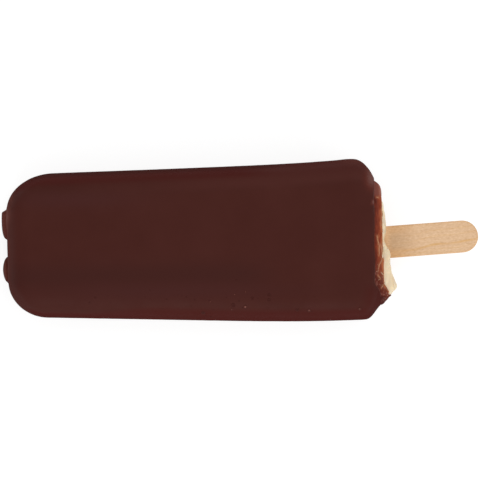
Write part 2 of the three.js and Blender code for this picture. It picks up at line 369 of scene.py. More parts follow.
def attribute(name):
    return addNode("ShaderNodeAttribute", attribute_name=name)["Fac"]


def coordinates(source=None):
    source = source or addNode("ShaderNodeTexCoord")["Object"]
    return addNode("ShaderNodeSeparateXYZ", {0: source})


def lumps(size, drawnOut=even, detail=3.0, source=None):
    # fractal noise with lumps of this size in millimetres, drawn out along the axes
    source = source or addNode("ShaderNodeTexCoord")["Object"]
    scale = [1 / (size * mm * s) for s in drawnOut]
    place = addNode("ShaderNodeMapping", {"Vector": source, "Scale": scale})["Vector"]
    return addNode("ShaderNodeTexNoise", {"Vector": place, "Scale": 1.0, "Detail": detail})["Fac"]


def patches(low, high, *settings, source=None):
    # lumps with these settings, as soft patches from where the noise is low to where it is high
    return fade(lumps(*settings, source=source), low, high)


def ramp(value, *stops):
    node = trees[-1].nodes.new("ShaderNodeValToRGB")
    elements = node.color_ramp.elements
    while len(elements) < len(stops):
        elements.new(0.5)
    for element, (place, colour) in zip(elements, stops):
        element.position = place
        element.color = (*colour, 1) if isinstance(colour, tuple) else (colour, colour, colour, 1)
    fill(node, {"Fac": value})
    return node.outputs["Color"]


def blend(share, a, b, mode="MIX"):
    colours = [(*c, 1) if isinstance(c, tuple) else c for c in (a, b)]
    inputs = {0: share, 6: colours[0], 7: colours[1]}
    return addNode("ShaderNodeMix", inputs, data_type="RGBA", blend_type=mode)[2]


def bump(height, distance, under=None):
    inputs = {"Height": height, "Distance": distance * mm}
    if under is not None:
        inputs["Normal"] = under
    return addNode("ShaderNodeBump", inputs)["Normal"]


def relief(layers):
    # bump by layers of lumps: height, size, drawn out by, detail
    normal = None
    for height, *settings in layers:
        normal = bump(lumps(*settings), height, under=normal)
    return normal


# Noise in a look is lumps: (size, drawn out by, detail). Before those, patches have the noise at
# which they start and are full, and relief has its height.
chocolateLook = {
    "body": [(0.3, (0.056, 0.0138, 0.0103)), (0.7, (0.063, 0.0163, 0.0124))], "clouds": (14, even, 4),
    "shaded": (0.0515, 0.0139, 0.011), "paintedLight": (0.07, 0.0185, 0.0145),
    "cool": (0.059, 0.0165, 0.0143), "paintedEdgeShade": (0.044, 0.0068, 0.0045),
    # redder on the long edges, partly from the thin coat there and partly painted shade; darker still as
    # painted shade low on the steep sides
    "thinEdgeAndShade": (0.0615, 0.0092, 0.0068), "paintedLowShade": (0.057, 0.0062, 0.004), "paintedLowShadeFrom": (0.1, 0.7),
    # painted highlights, at the right corner partly scuffs, pale and paler
    "highlightAndScuff": (0.088, 0.0205, 0.0145), "rubbedMost": (0.137, 0.056, 0.047),
    "highlightAndScuffFrom": (0.0, 0.4), "rubbedMostFrom": (0.2, 1.0), "highlightBreakup": (0.6, even, 2),
    "specular": 0.045, "roughness": [(0.3, 0.44), (0.7, 0.56)], "gloss": (5, even, 5),
    "steepest": (0.9, 0.9, 0.9),  # roughness of the upright sides
    # the lip, from the dip line (0) to its rim (1)
    "lip": [(0.0, (0.086, 0.014, 0.008)), (0.3, (0.15, 0.0245, 0.0125)),
            (0.7, (0.245, 0.048, 0.02)), (0.95, (0.4, 0.122, 0.05))],
    "streaks": (0.7, (1, 4, 2), 4), "streakReach": 1.2,
    "film": (0.4, 0.16, 0.076), "ripples": (0.25, 0.65, 0.5, (1, 2.5, 1)),
    "creamy": (0.195, 0.066, 0.049), "mottles": (0.48, 0.66, 0.85, (0.7, 1.3, 1), 2),
    "lipTop": (0.172, 0.055, 0.042), "lipTopRim": (0.3, 0.128, 0.106),
    "lipTopRimFrom": (0.62, 0.92), "lipTopFrom": (12.6, 14.6),  # y
    "lipLow": (0.09, 0.0175, 0.0115), "lipLowFrom": (-8.7, -12.7), "lipLowTo": (1.0, 0.85),
    "lipEndFrom": (-16.0, -17.6),  # past this y the rim is as dark
    "lipShare": 0.8,
    # pit is painted shade darkening a bubble's crater; clearPit is the pale ice cream showing in its
    # middle
    "pit": (0.047, 0.0105, 0.0082), "clearPit": (0.21, 0.08, 0.064),
    "pitTo": (0.2, 0.0), "clearFrom": (0.5, 1.0),
    "relief": [(0.02, 1.8, even, 2), (0.008, 0.35, even, 2)],
}


def chocolateMaterial():
    look = chocolateLook
    material, shader = newMaterial("chocolate", {"Specular IOR Level": look["specular"]})
    colour = ramp(lumps(*look["clouds"]), *look["body"])
    # Among these, the paler right edge is painted light and the redder edges are partly painted shade.
    for name in ("shaded", "cool", "paintedLight", "thinEdgeAndShade"):
        colour = blend(attribute(name), colour, look[name])
    # painted shade: darker still on the steep sides low down
    paintedLowShade = times(fade(attribute("steep"), *look["paintedLowShadeFrom"]), attribute("thinEdgeAndShade"))
    colour = blend(paintedLowShade, colour, look["paintedLowShade"])
    # painted shade at the very right edge
    colour = blend(attribute("paintedEdgeShade"), colour, look["paintedEdgeShade"])
    # painted highlights, broken up by noise
    highlightAndScuff = times(attribute("highlightAndScuff"), plus(lumps(*look["highlightBreakup"]), 0.5))
    for name in ("highlightAndScuff", "rubbedMost"):
        colour = blend(fade(highlightAndScuff, *look[name + "From"]), colour, look[name])
    y, place = coordinates()["Y"], attribute("lipPlace")
    streaks = times(minus(lumps(*look["streaks"]), 0.5), look["streakReach"])
    lip = ramp(plus(place, streaks), *look["lip"])
    top = blend(fade(place, *look["lipTopRimFrom"]), look["lipTop"], look["lipTopRim"])
    lip = blend(times(fade(y, *look["lipTopFrom"], unit=mm), look["lipShare"]), lip, top)
    low = times(fade(y, *look["lipLowFrom"], unit=mm), fade(place, *look["lipLowTo"]))
    low = calc("MAXIMUM", low, fade(y, *look["lipEndFrom"], unit=mm))
    lip = blend(times(low, look["lipShare"]), lip, look["lipLow"])
    colour = blend(attribute("lipThin"), colour, lip)
    for name, noisy in (("film", "ripples"), ("creamy", "mottles")):
        colour = blend(times(attribute(name), patches(*look[noisy])), colour, look[name])
    pit, clear = attribute("pit"), attribute("clear")
    # painted shade darkening the craters
    colour = blend(times(pit, fade(clear, *look["pitTo"])), colour, look["pit"])
    colour = blend(times(fade(pit, *look["clearFrom"]), clear), colour, look["clearPit"])
    roughness = ramp(lumps(*look["gloss"]), *look["roughness"])
    fill(shader, {"Base Color": colour, "Normal": relief(look["relief"]),
                  "Roughness": blend(attribute("steep"), roughness, look["steepest"])})
    return material


vanillaLook = {
    "shader": {"Roughness": 0.55, "Specular IOR Level": 0.35, "Subsurface Weight": 0.25,
               "Subsurface Scale": 1.5 * mm, "Subsurface Radius": (1.0, 0.75, 0.5)},
    "cream": [(0.3, (0.745, 0.575, 0.37)), (0.62, (0.85, 0.71, 0.49))], "strands": (1.3, (1, 4, 1), 5),
    "iceAndShade": (0.58, 0.48, 0.39), "ice": (0.35, 0.6, 1.6, (1, 2, 1)),
    "stained": (0.66, 0.44, 0.27), "film": (0.4, 0.18, 0.088),
    "relief": [(0.12, 0.9, (1, 2, 1), 4), (0.04, 0.28, even, 2)],
}


def vanillaMaterial():
    look = vanillaLook
    material, shader = newMaterial("vanilla", look["shader"])
    colour = ramp(lumps(*look["strands"]), *look["cream"])
    # greyer icy patches, the one low by the rim painted shade
    colour = blend(times(attribute("iceAndShade"), patches(*look["ice"])), colour, look["iceAndShade"])
    for name in ("stained", "film"):
        colour = blend(attribute(name), colour, look[name])
    fill(shader, {"Base Color": colour, "Normal": relief(look["relief"])})
    return material


birchLook = {
    "shader": {"Roughness": 0.62, "Specular IOR Level": 0.3},
    "wood": [(0.32, (0.695, 0.45, 0.264)), (0.6, (0.745, 0.497, 0.3))], "grain": (0.42, (26, 1, 1), 4),
    "tan": (0.695, 0.45, 0.264), "broad": (0.45, 0.75, 2.6, (4, 1, 1), 2), "broadShare": 0.4,
    # the growth line, as distance from the far end and place across, over a stick 114 long
    "line": (0.68, 0.395, 0.16), "linePatches": (0.15, 0.62, 1.6, (2, 0.5, 1)),
    "lineAt": [(0, -1.1), (4, -1.4), (7.5, -1.7), (14, -1.85), (17.5, -2.5), (21, -2.95), (27, -3.1),
               (114, -1.0)],
    # lines beside it: offset across, half width, strength
    "lines": [(0, 0.6, 1.0), (2.6, 0.5, 0.3), (4.4, 0.4, 0.35), (-1.5, 0.4, 0.3)],
    "fleck": (0.42, 0.23, 0.11), "flecks": (0.68, 0.76, 0.24, (5, 1, 1), 1), "fleckShare": 0.4,
    "edge": (0.66, 0.375, 0.165), "edgeFrom": (0.8, 0.0), "edgeShare": 0.5,
    # darker where it is damp from the ice cream, as distance from the far end
    "damp": (0.535, 0.34, 0.19), "dampFrom": (-16.7, -27.0), "dampGrain": (-0.1, 0.6), "dampShare": 0.9,
    "dampEdge": (0.605, 0.345, 0.155), "dampEdgeFrom": (4.0, 0.5),
    # painted light: paler damp wood right next to the ice cream, lifting the shade there
    "paintedJointLight": (0.74, 0.475, 0.26), "paintedJointLightFrom": (-26.6, -29.0),
    # short fibres, which multiply the colour of the wood: the noise where they start and are full
    "fibres": (0.45, (2.0, 1, 1), 2), "fibreShare": 0.62,
    "fibreTints": [(0.5, 0.75, (0.84, 0.77, 0.7)), (0.5, 0.25, (1.14, 1.22, 1.32))],
    "relief": 0.05,
}


def growthLine(x, look):
    # how far across the line runs, for a place along the stick
    line = trees[-1].nodes.new("ShaderNodeFloatCurve")
    points = line.mapping.curves[0].points
    while len(points) < len(look["lineAt"]):
        points.new(0.5, 0.5)
    for point, (fromEnd, across) in zip(points, look["lineAt"]):
        point.location = fromEnd / stick["length"], across / stick["width"] + 0.5
    line.mapping.update()
    fill(line, {"Value": times(x, -1 / (stick["length"] * mm))})
    return times(minus(line.outputs[0], 0.5), stick["width"] * mm)


def birchMaterial():
    look = birchLook
    material, shader = newMaterial("birch", look["shader"])
    # along, across and through the stick from the middle of its far end
    place = addNode("ShaderNodeAttribute", attribute_name="woodPlace")["Vector"]
    x, y, z = coordinates(place)
    toEdge = attribute("toEdge")
    grain = lumps(*look["grain"], source=place)
    colour = ramp(grain, *look["wood"])
    broad = patches(*look["broad"], source=place)
    colour = blend(times(broad, look["broadShare"]), colour, look["tan"])
    fromLine = minus(y, growthLine(x, look))
    patchy = patches(*look["linePatches"], source=place)
    for offset, half, strength in look["lines"]:
        off = calc("ABSOLUTE", minus(fromLine, offset * mm))
        share = times(fade(off, half, 0.0, unit=mm), patchy)
        colour = blend(times(share, strength), colour, look["line"])
    flecks = patches(*look["flecks"], source=place)
    colour = blend(times(flecks, look["fleckShare"]), colour, look["fleck"])
    edge = fade(toEdge, *look["edgeFrom"], unit=mm)
    colour = blend(times(edge, look["edgeShare"]), colour, look["edge"])
    dampColour = blend(fade(toEdge, *look["dampEdgeFrom"], unit=mm), look["damp"], look["dampEdge"])
    # painted light next to the ice cream
    dampColour = blend(fade(x, *look["paintedJointLightFrom"], unit=mm), dampColour, look["paintedJointLight"])
    damp = times(fade(x, *look["dampFrom"], unit=mm), fade(grain, *look["dampGrain"]))
    colour = blend(times(damp, look["dampShare"]), colour, dampColour)
    fibres = lumps(*look["fibres"], source=place)
    for low, high, tint in look["fibreTints"]:
        share = times(fade(fibres, low, high), look["fibreShare"])
        colour = blend(share, colour, tint, "MULTIPLY")
    fill(shader, {"Base Color": colour, "Normal": bump(grain, look["relief"])})
    return material


materials = {"chocolate": chocolateMaterial(), "vanilla": vanillaMaterial(), "birch": birchMaterial()}


def finishPiece(piece, slot, *nodesReplaced):
    piece.data.materials.clear()
    piece.data.materials.append(materials[slot])
    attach(piece, "root")
    if nodesReplaced:
        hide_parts(*nodesReplaced)
    print(piece.name, "has", len(piece.data.polygons), "faces")


dropHeight = 40.0


def dropPoint(x, y):
    # the place above the bar, in its own frame, from where something small is put down on it
    return x - origin[0] / mm, y - origin[1] / mm, dropHeight


# Cream smeared over the lip: flat strands, as (x, y) from above, in a film that tints the lip
smear = {
    "step": 0.25, "sides": 8, "endShare": 0.02, "lumpSize": 1.2,
    "filmWidth": 0.38, "middleWidth": 0.4,  # half width of the film round a strand of middle width
    "flatness": 0.4,
    "paths": [  # width, how thin a film it is (0 to 1), path
        (0.25, 1.0, [(42.7, 13.1), (43.0, 13.15), (43.3, 13.05)]),
        (0.45, 0.8, [(44.35, 9.0), (44.5, 8.3), (44.5, 7.6), (44.3, 6.9)]),
        (0.3, 0.95, [(44.2, 6.6), (44.35, 5.4), (44.2, 4.2)]),
        (0.36, 1.0, [(42.65, 1.4), (42.8, 0.4), (43.15, -1.2), (43.35, -2.6), (43.35, -3.8),
                      (43.3, -4.8)]),
        (0.3, 0.9, [(43.85, -1.4), (44.1, -2.9), (44.2, -4.2)]),
        (1.0, 0.28, [(44.75, -2.4), (44.5, -3.8), (44.35, -4.9), (44.35, -5.8)]),
        (0.16, 1.0, [(42.8, -10.0), (43.0, -9.0), (43.3, -8.0)]),
        (0.28, 1.0, [(43.2, -8.2), (43.4, -7.7), (43.9, -6.7), (44.4, -5.6)]),
        (0.34, 0.7, [(43.8, -10.2), (44.3, -10.7), (44.6, -11.2)]),
        (0.22, 1.0, [(42.9, -11.1), (43.3, -11.8), (43.7, -12.3)]),
        (0.2, 1.0, [(45.0, -13.3), (44.5, -14.2), (43.9, -15.1)]),
    ],
}


def filmAt(points):
    # how strongly cream films the lip at these points
    film = np.zeros(points.shape[:-1])
    for width, _, path in smear["paths"]:
        spread = smear["filmWidth"] * (width / smear["middleWidth"]) ** 0.5
        for start, end in zip(np.array(path[:-1]), np.array(path[1:])):
            way = end - start
            share = np.clip(((points[..., :2] - start) @ way) / (way @ way), 0, 1)
            away = np.linalg.norm(points[..., :2] - start - share[..., None] * way, axis=-1)
            film = np.maximum(film, bell(away, 0, spread))
    return film


# The chocolate coat
drips = [
    # a low swelling and two drips; "squareness" is of the low and the high end in y
    {"at": (7.8, 10.2), "half": (4.7, 4.5), "squareness": (2, 2), "proud": 0.36, "fall": 1.0, "crease": 0},
    {"at": (6.47, 9.6), "half": (4.43, 3.6), "squareness": (4.5, 30), "proud": 1.3, "fall": 0.5,
     "crease": 0.4},
    {"at": (-7.45, 8.8), "half": (4.05, 4.0), "squareness": (1.8, 1.8), "proud": 1.65, "fall": 0.5,
     "crease": 0.4},
]
dripReach = 12.0
dripLeast = 0.1  # a point moved out by more than this is on a drip
creaseWidth = 0.12  # as a share of the drip


def coatShare(name, values):
    return smooth(values, *coat[name])


def dipLineAt(points):
    climb = coat["climb"] * coatShare("climbFrom", -points[..., 1])
    wander = noiseAt(points * [0, 1, 0.5], *coat["dipWander"])
    return coat["dipLine"] + climb - coat["thick"] + wander


def coatThickness(points, line):
    x = points[..., 0]
    fade = lerp(coat["dipFade"], coat["longFade"], coatShare("longFadeFrom", -points[..., 1]))
    thin = smooth(x, line - fade, line + fade)
    bead = coat["bead"] * bell(x, line - coat["beadWidth"], coat["beadWidth"]) * (1 - thin)
    return lerp(coat["thick"] + bead, coat["lip"], thin), thin


def coatRelief(points, thin):
    swell, peel, streak = [noiseAt(points, *coat[name]) for name in ("swell", "peel", "lipStreak")]
    return (swell + peel) * (1 - thin) + streak * thin


def addDrips(points):
    # moves the points out, and gives how deep each one is in the crease round a drip
    crease = np.zeros(points.shape[:-1])
    for drip in drips:
        across, high = np.moveaxis((points[..., 1:] - drip["at"]) / drip["half"], -1, 0)
        across = np.abs(across) ** np.where(across < 0, *drip["squareness"])
        high = high ** 2
        atTip = points[..., 0] < dripReach
        rise = np.clip(1 - across - high, 0, 1) ** drip["fall"] * atTip
        crease = np.maximum(crease, drip["crease"] * bell(across + high, 1, creaseWidth) * atTip)
        points[..., 0] -= drip["proud"] * rise
    return crease


def coatSurface(grid, normals, thickness):
    surface = grid + normals * (coat["fit"] + thickness)[..., None]
    surface[..., 2] = np.maximum(surface[..., 2], np.maximum(wall - coat["fit"] - thickness, 0))
    return surface


def spots(table, x, y):
    return sum(strength * bell(x, atX, long) * bell(y, atY, wide)
               for atX, atY, long, wide, strength in table)


def coatTints(outside, normals, thin, crease, onDrip):
    # how much of each tint the coat has at each point
    x, y, _ = np.moveaxis(outside, -1, 0)
    back, tilt, up = -normals[..., 0], normals[..., 1], normals[..., 2]
    facesUp = coatShare("facesUp", up)
    level = coatShare("levelFrom", up)
    # painted highlights, also on the tip end facing -x, kept out of the creases round the drips
    highlightAndScuff = spots(coat["highlightAndScuff"], x, y) + coat["highlightAndScuffTip"] * coatShare("tipFrom", back)
    highlightAndScuff *= smooth(gridNormals(outside)[..., 2], *coat["highlightAndScuffUp"]) * (1 - crease)
    nearTip = coatShare("nearTip", x) * (tilt < 0)
    low, high = [lerp(a, b, nearTip) for a, b in zip(coat["redderTilt"], coat["redderTiltTip"])]
    # redder edges: partly thin coat, partly painted shade where the surface tilts
    thinEdgeAndShade = smooth(np.abs(tilt), low, high) * (1 - onDrip)
    thinEdgeAndShade *= 1 - (1 - coat["redderLeast"]) * coatShare("redderTo", x) * (tilt > 0)
    thinEdgeAndShade *= lerp(coat["redderUpright"], 1, facesUp)
    thinEdgeAndShade = np.maximum(thinEdgeAndShade, coat["redderTip"] * coatShare("redderTipFrom", back))
    corner = coatShare("cornerFrom", x) * coatShare("longFadeFrom", -y)
    thinEdgeAndShade = np.maximum(thinEdgeAndShade, coat["redderCorner"] * corner * facesUp)
    # painted light on the right long edge
    paintedLight = coatShare("paintedLightTilt", tilt) * coatShare("paintedLightTiltTo", tilt)
    return {
        "thinEdgeAndShade": thinEdgeAndShade,
        "steep": coatShare("steepFrom", -up),
        "shaded": bell(y, *coat["shadedBand"]) * coatShare("shadedTo", x),
        "paintedLight": paintedLight * coatShare("paintedLightFrom", x) * (up > 0),
        "paintedEdgeShade": coatShare("paintedEdgeShadeTilt", tilt) * coatShare("paintedEdgeShadeTo", x) * facesUp,
        "cool": spots(coat["cool"], x, y) * (1 - thin) * (up > 0),
        "film": filmAt(outside) * coatShare("filmFrom", thin) * (up > 0),
        "highlightAndScuff": highlightAndScuff * (1 - thin),
        "bubbly": bell(y, *coat["bubbleBand"]) * level * (1 - thin),
        "creamy": thin * level * coatShare("creamFrom", -y),
    }


def makeCoat():
    grid = reachOut(coreSurface(raggedT(outsideStops)), outsideStops)
    normals = gridNormals(grid)
    line = dipLineAt(grid)
    thickness, thin = coatThickness(grid, line)
    outside = coatSurface(grid, normals, thickness + coatRelief(grid, thin))
    plain = outside[..., 0].copy()
    crease = addDrips(outside)
    rim, ahead = grid[-1], grid[-1] - grid[-2]
    ahead /= np.linalg.norm(ahead, axis=-1, keepdims=True)
    edge = []
    for angle in (45, 90, 135):  # the lip's rounded edge
        half = thickness[-1] / 2
        offset = coat["fit"] + half * (1 + math.cos(math.radians(angle)))
        forward = half * math.sin(math.radians(angle))
        edge.append(rim + normals[-1] * offset[:, None] + ahead * forward[:, None])
    innerGrid = reachOut(coreSurface(raggedT(insideStops)), insideStops)
    inside = innerGrid + gridNormals(innerGrid) * coat["fit"]
    inside[-1] = rim + normals[-1] * coat["fit"]
    piece = meshFromRings("chocolate_coat", np.concatenate([outside, edge, inside[::-1]]))

    place = np.clip((grid[..., 0] - line) / np.maximum(rim[:, 0] - line, coat["leastLip"]), 0, 1)
    place *= thin > 0
    place += valueAt(coat["lipAhead"], outside[..., 1] + origin[1] / mm)
    tints = {"lipThin": coatShare("tintFade", grid[..., 0] - line), "lipPlace": place}
    onDrip = plain - outside[..., 0] > dripLeast
    tints.update(coatTints(outside + origin / mm, normals, thin, crease, onDrip))
    hidden = np.ones((len(edge) + len(inside), ringCount))
    for name, values in tints.items():
        share = name in ("lipThin", "lipPlace", "thinEdgeAndShade", "steep")
        storeAttribute(piece, name, np.concatenate([values, share * hidden]))
    finishPiece(piece, "chocolate", "coating")
    return piece


coatPiece = makeCoat()


# The ice cream, which shows round the stick
nose = {
    "bluntness": 8.0, "crowding": 1.4, "rings": 54, "middle": 119.0,
    # how far along it reaches, as (y, along), dented at the stick and drawn out to a crest
    "ends": [(15, 116.3), (13.6, 116.7), (12.6, 117.25), (11.4, 117.56), (9.5, 117.72), (8.3, 117.87),
             (6.7, 118.06), (5.1, 118.25), (3, 118.25), (1.5, 117.6), (0.65, 117.4), (-0.5, 117.95),
             (-2, 119.0), (-3.5, 119.4), (-5.2, 119.39), (-6.4, 119.35), (-7.7, 119.63), (-8.9, 120.0),
             (-10.2, 120.17), (-11.4, 120.56), (-12.7, 120.93), (-13.95, 121.8), (-15.2, 120.75),
             (-16.8, 119.57), (-18, 119.6)],
    "endsBlur": 0.7, "blurSteps": 7,
    "rough": 0.25, "roughFrom": 0.25, "roughWaves": [(0.7, 0.5), (-0.3, 0.9)], "offset": 0.25,
    "groove": (0.2, 0.8, 5, (1, 5, 1)), "crumb": (0.1, 1.2, 6), "reliefFrom": 0.08,
    "pit": 0.3, "pits": (1, 0.9, 7, (1, 2, 1)), "pitFrom": (0.3, 0.6),
    # greyer patches, icy cream except the last, low by the rim, which is painted shade: y, spread,
    # strength, reach from rim
    "iceAndShadeAt": [(4.4, 2.6, 1.0, 3.0), (-4.6, 2.0, 1.0, 1.3), (-13.0, 3.0, 0.5, 1.8)],
    "stain": 0.8, "stainWidth": 0.55,  # tinted by the chocolate next to the rim
}


def noseEnd(y):
    blur = np.linspace(-nose["endsBlur"], nose["endsBlur"], nose["blurSteps"])
    return np.mean([valueAt(nose["ends"][::-1], y + shift) for shift in blur], 0)


def noseRelief(points):
    groove, crumb, pits = [noiseAt(points, *nose[name]) for name in ("groove", "crumb", "pits")]
    return groove + crumb - nose["pit"] * smooth(pits, *nose["pitFrom"])


def makeIceCream():
    grid = reachOut(coreSurface(raggedT(insideStops)), insideStops)
    grid = grid + gridNormals(grid) * nose["offset"]
    rim = grid[-1]
    steps = (np.arange(1, nose["rings"]) / nose["rings"]) ** nose["crowding"]
    front = []
    for step in steps:
        y = rim[:, 1] * lerp(1, bar["middleLine"], step)
        z = lerp(rim[:, 2], middleHeight(nose["middle"]), step)
        rise = math.sqrt(1 - (1 - step) ** nose["bluntness"])
        one, other = [a * y + b * z for a, b in nose["roughWaves"]]
        rough = nose["rough"] * np.sin(one) * np.cos(other) * min(1, step / nose["roughFrom"])
        front.append(np.stack([lerp(rim[:, 0], noseEnd(y), rise) + rough, y, z], -1))
    front = np.array(front)
    normals = gridNormals(np.concatenate([grid, front]))[len(grid):]
    late = np.minimum(1, steps / nose["reliefFrom"])[:, None]
    front = front + normals * (noseRelief(front) * late)[..., None]
    whole = np.concatenate([grid, front])
    piece = meshFromRings("vanilla_ice_cream", whole)
    y = whole[..., 1] + origin[1] / mm
    fromRim = np.linalg.norm(whole - whole[len(grid) - 1], axis=-1)
    storeAttribute(piece, "iceAndShade", sum(strength * bell(y, middle, spread) * bell(fromRim, 0, reach)
                                     for middle, spread, strength, reach in nose["iceAndShadeAt"]))
    storeAttribute(piece, "stained", nose["stain"] * bell(fromRim, 0, nose["stainWidth"]))
    finishPiece(piece, "vanilla", "ice_cream")
    return piece


iceCreamPiece = makeIceCream()


# Geometry Nodes trees start with their named inputs and end in real meshes with a material.
socketKinds = {int: "Int", float: "Float", bpy.types.Object: "Object", bpy.types.Material: "Material"}


def newTree(name, inputs):
    tree = bpy.data.node_groups.new(name, "GeometryNodeTree")
    trees.append(tree)
    sockets = [("Geometry", "INPUT", "Geometry")]
    sockets += [(label, "INPUT", socketKinds[type(value)]) for label, value in inputs.items()]
    for label, way, kind in sockets + [("Geometry", "OUTPUT", "Geometry")]:
        tree.interface.new_socket(label, in_out=way, socket_type="NodeSocket" + kind)
    return tree.nodes.new("NodeGroupInput").outputs


def geo(kind, inputs=(), **settings):
    # the first output of a new Geometry Nodes node
    return addNode("GeometryNode" + kind, inputs, **settings)[0]


def endTree(geometry, material):
    soft = geo("SetShadeSmooth", {0: geo("RealizeInstances", {0: geometry})})
    dressed = geo("SetMaterial", {"Geometry": soft, "Material": material})
    addNode("NodeGroupOutput", {0: dressed})
    return trees[-1]


def applyTree(piece, tree, inputs):
    # runs the tree on the piece and keeps its result as a plain mesh
    modifier = piece.modifiers.new(tree.name, "NODES")
    modifier.node_group = tree
    for item in tree.interface.items_tree:
        if item.in_out == "INPUT" and item.name in inputs:
            modifier[item.identifier] = inputs[item.name]
    evaluated = piece.evaluated_get(bpy.context.evaluated_depsgraph_get())
    mesh = bpy.data.meshes.new_from_object(evaluated)
    piece.modifiers.remove(modifier)
    piece.data = mesh


def shapeOf(item):
    return addNode("GeometryNodeObjectInfo", {"Object": item}, transform_space="RELATIVE")["Geometry"]


def store(geometry, name, value, kind="FLOAT"):
    inputs = {"Geometry": geometry, "Name": name, "Value": value}
    return geo("StoreNamedAttribute", inputs, data_type=kind)


def stored(name, kind="FLOAT"):
    return geo("InputNamedAttribute", {"Name": name}, data_type=kind)


def moved(geometry, **inputs):
    return geo("SetPosition", {"Geometry": geometry, **inputs})


def join(*parts):
    node = trees[-1].nodes.new("GeometryNodeJoinGeometry")
    for part in parts:
        fill(node, {0: part})
    return node.outputs[0]


def smearTree(inputs):
    given = newTree("creamSmears", inputs)
    below = join(shapeOf(given["Coat"]), shapeOf(given["IceCream"]))
    curve = geo("CurveSplineType", {"Curve": geo("MeshToCurve", {"Mesh": given["Geometry"]})},
                spline_type="CATMULL_ROM")
    curve = geo("ResampleCurve", {"Curve": curve, "Length": given["Step"]}, mode="LENGTH")
    hit = addNode("GeometryNodeRaycast", {"Target Geometry": below})
    curve = moved(curve, Position=hit["Hit Position"])
    curve = geo("SetCurveNormal", {"Curve": curve}, mode="Z_UP")
    share = addNode("GeometryNodeSplineParameter")["Factor"]
    taper = calc("MAXIMUM", calc("SINE", times(share, math.pi)), smear["endShare"])
    place = geo("InputPosition")
    uneven = addNode("ShaderNodeTexNoise", {"Vector": place, "Scale": 1 / (smear["lumpSize"] * mm)})[0]
    width = times(calc("POWER", taper, 0.5), stored("halfWidth"))
    outline = geo("CurvePrimitiveCircle", {"Resolution": smear["sides"], "Radius": 1.0})
    outline = geo("Transform", {"Geometry": outline, "Scale": (1, smear["flatness"], 1)})
    strands = geo("CurveToMesh", {"Curve": curve, "Profile Curve": outline, "Fill Caps": True,
                                  "Scale": times(width, plus(uneven, 0.5))})
    return endTree(strands, given["Material"])


def makeSmears():
    points, edges, widths, films = [], [], [], []
    for width, film, path in smear["paths"]:
        first = len(points)
        points += [dropPoint(x, y) for x, y in path]
        edges += [(i, i + 1) for i in range(first, len(points) - 1)]
        widths += [width / 2 * mm] * len(path)
        films += [film] * len(path)
    piece = newPiece("cream_smears", points, edges, [])
    storeAttribute(piece, "halfWidth", widths)
    storeAttribute(piece, "film", films)
    inputs = {"Coat": coatPiece, "IceCream": iceCreamPiece, "Step": smear["step"] * mm,
              "Material": materials["vanilla"]}
    applyTree(piece, smearTree(inputs), inputs)
    finishPiece(piece, "vanilla")


makeSmears()


# Small things on a surface: some placed from above, some scattered by an attribute of it
def scatterTree(name, inputs, density):
    given = newTree(name, inputs)
    surface = shapeOf(given["Surface"])
    spread = addNode("GeometryNodeDistributePointsOnFaces",
                     {"Mesh": surface, "Density Max": given["Density"], "Distance Min": given["Spacing"],
                      "Density Factor": stored(density), "Seed": given["Seed"]},
                     distribute_method="POISSON")
    scattered = store(spread["Points"], "outward", spread["Normal"], "FLOAT_VECTOR")
    uneven = addNode("FunctionNodeRandomValue", {2: 0.0, 3: 1.0, 8: given["Seed"]})[1]
    # most are small
    sized = times(calc("POWER", uneven, 2.0), minus(given["Largest"], given["Smallest"]))
    scattered = store(scattered, "size", plus(sized, given["Smallest"]))
    hit = addNode("GeometryNodeRaycast", {"Target Geometry": surface})
    placed = store(given["Geometry"], "outward", hit["Hit Normal"], "FLOAT_VECTOR")
    placed = geo("MeshToPoints", {"Mesh": moved(placed, Position=hit["Hit Position"])})
    turn = addNode("FunctionNodeAlignRotationToVector", {"Vector": stored("outward", "FLOAT_VECTOR")},
                   axis="Z")[0]
    crowd = geo("InstanceOnPoints", {"Points": join(scattered, placed), "Rotation": turn,
                                     "Instance": shapeOf(given["Shape"]), "Scale": stored("size")})
    return endTree(crowd, given["Material"])


def turnedShape(name, settings, attributeName):
    # a small closed turned shape of about unit size, with a value for each point of its profile
    steps = settings["sides"]
    (_, top, topValue), *rest, (_, bottom, bottomValue) = settings["profile"]
    points, faces, values = [(0, 0, top)], [], [topValue]
    for radius, height, value in rest:
        points += [(radius * math.cos(2 * math.pi * j / steps),
                    radius * math.sin(2 * math.pi * j / steps), height) for j in range(steps)]
        values += [value] * steps
    points.append((0, 0, bottom))
    values.append(bottomValue)
    for j in range(steps):
        k = (j + 1) % steps
        faces.append((0, 1 + j, 1 + k))
        for ring in range(len(rest) - 1):
            a, b = 1 + ring * steps, 1 + (ring + 1) * steps
            faces.append((a + j, b + j, b + k, a + k))
        a = 1 + (len(rest) - 1) * steps
        faces.append((len(points) - 1, a + k, a + j))
    mesh = bpy.data.meshes.new(name)
    mesh.from_pydata(points, [], faces)
    shape = bpy.data.objects.new(name, mesh)
    scene.collection.objects.link(shape)
    storeAttribute(shape, attributeName, values)
    return shape


def scatter(name, settings, shape, slot, density):
    placed = settings["placed"]
    piece = newPiece(name, [dropPoint(x, y) for x, y, size, clear in placed], [], [])
    storeAttribute(piece, "size", [size * mm for x, y, size, clear in placed])
    storeAttribute(piece, "clear", [clear for x, y, size, clear in placed])
    smallest, largest = settings["sizes"]
    inputs = {"Surface": coatPiece, "Shape": shape, "Density": settings["density"] / mm ** 2,
              "Spacing": settings["spacing"] * mm, "Smallest": smallest * mm, "Largest": largest * mm,
              "Seed": settings["seed"], "Material": materials[slot]}
    applyTree(piece, scatterTree(name, inputs, density), inputs)
    bpy.data.objects.remove(shape)
    finishPiece(piece, slot)


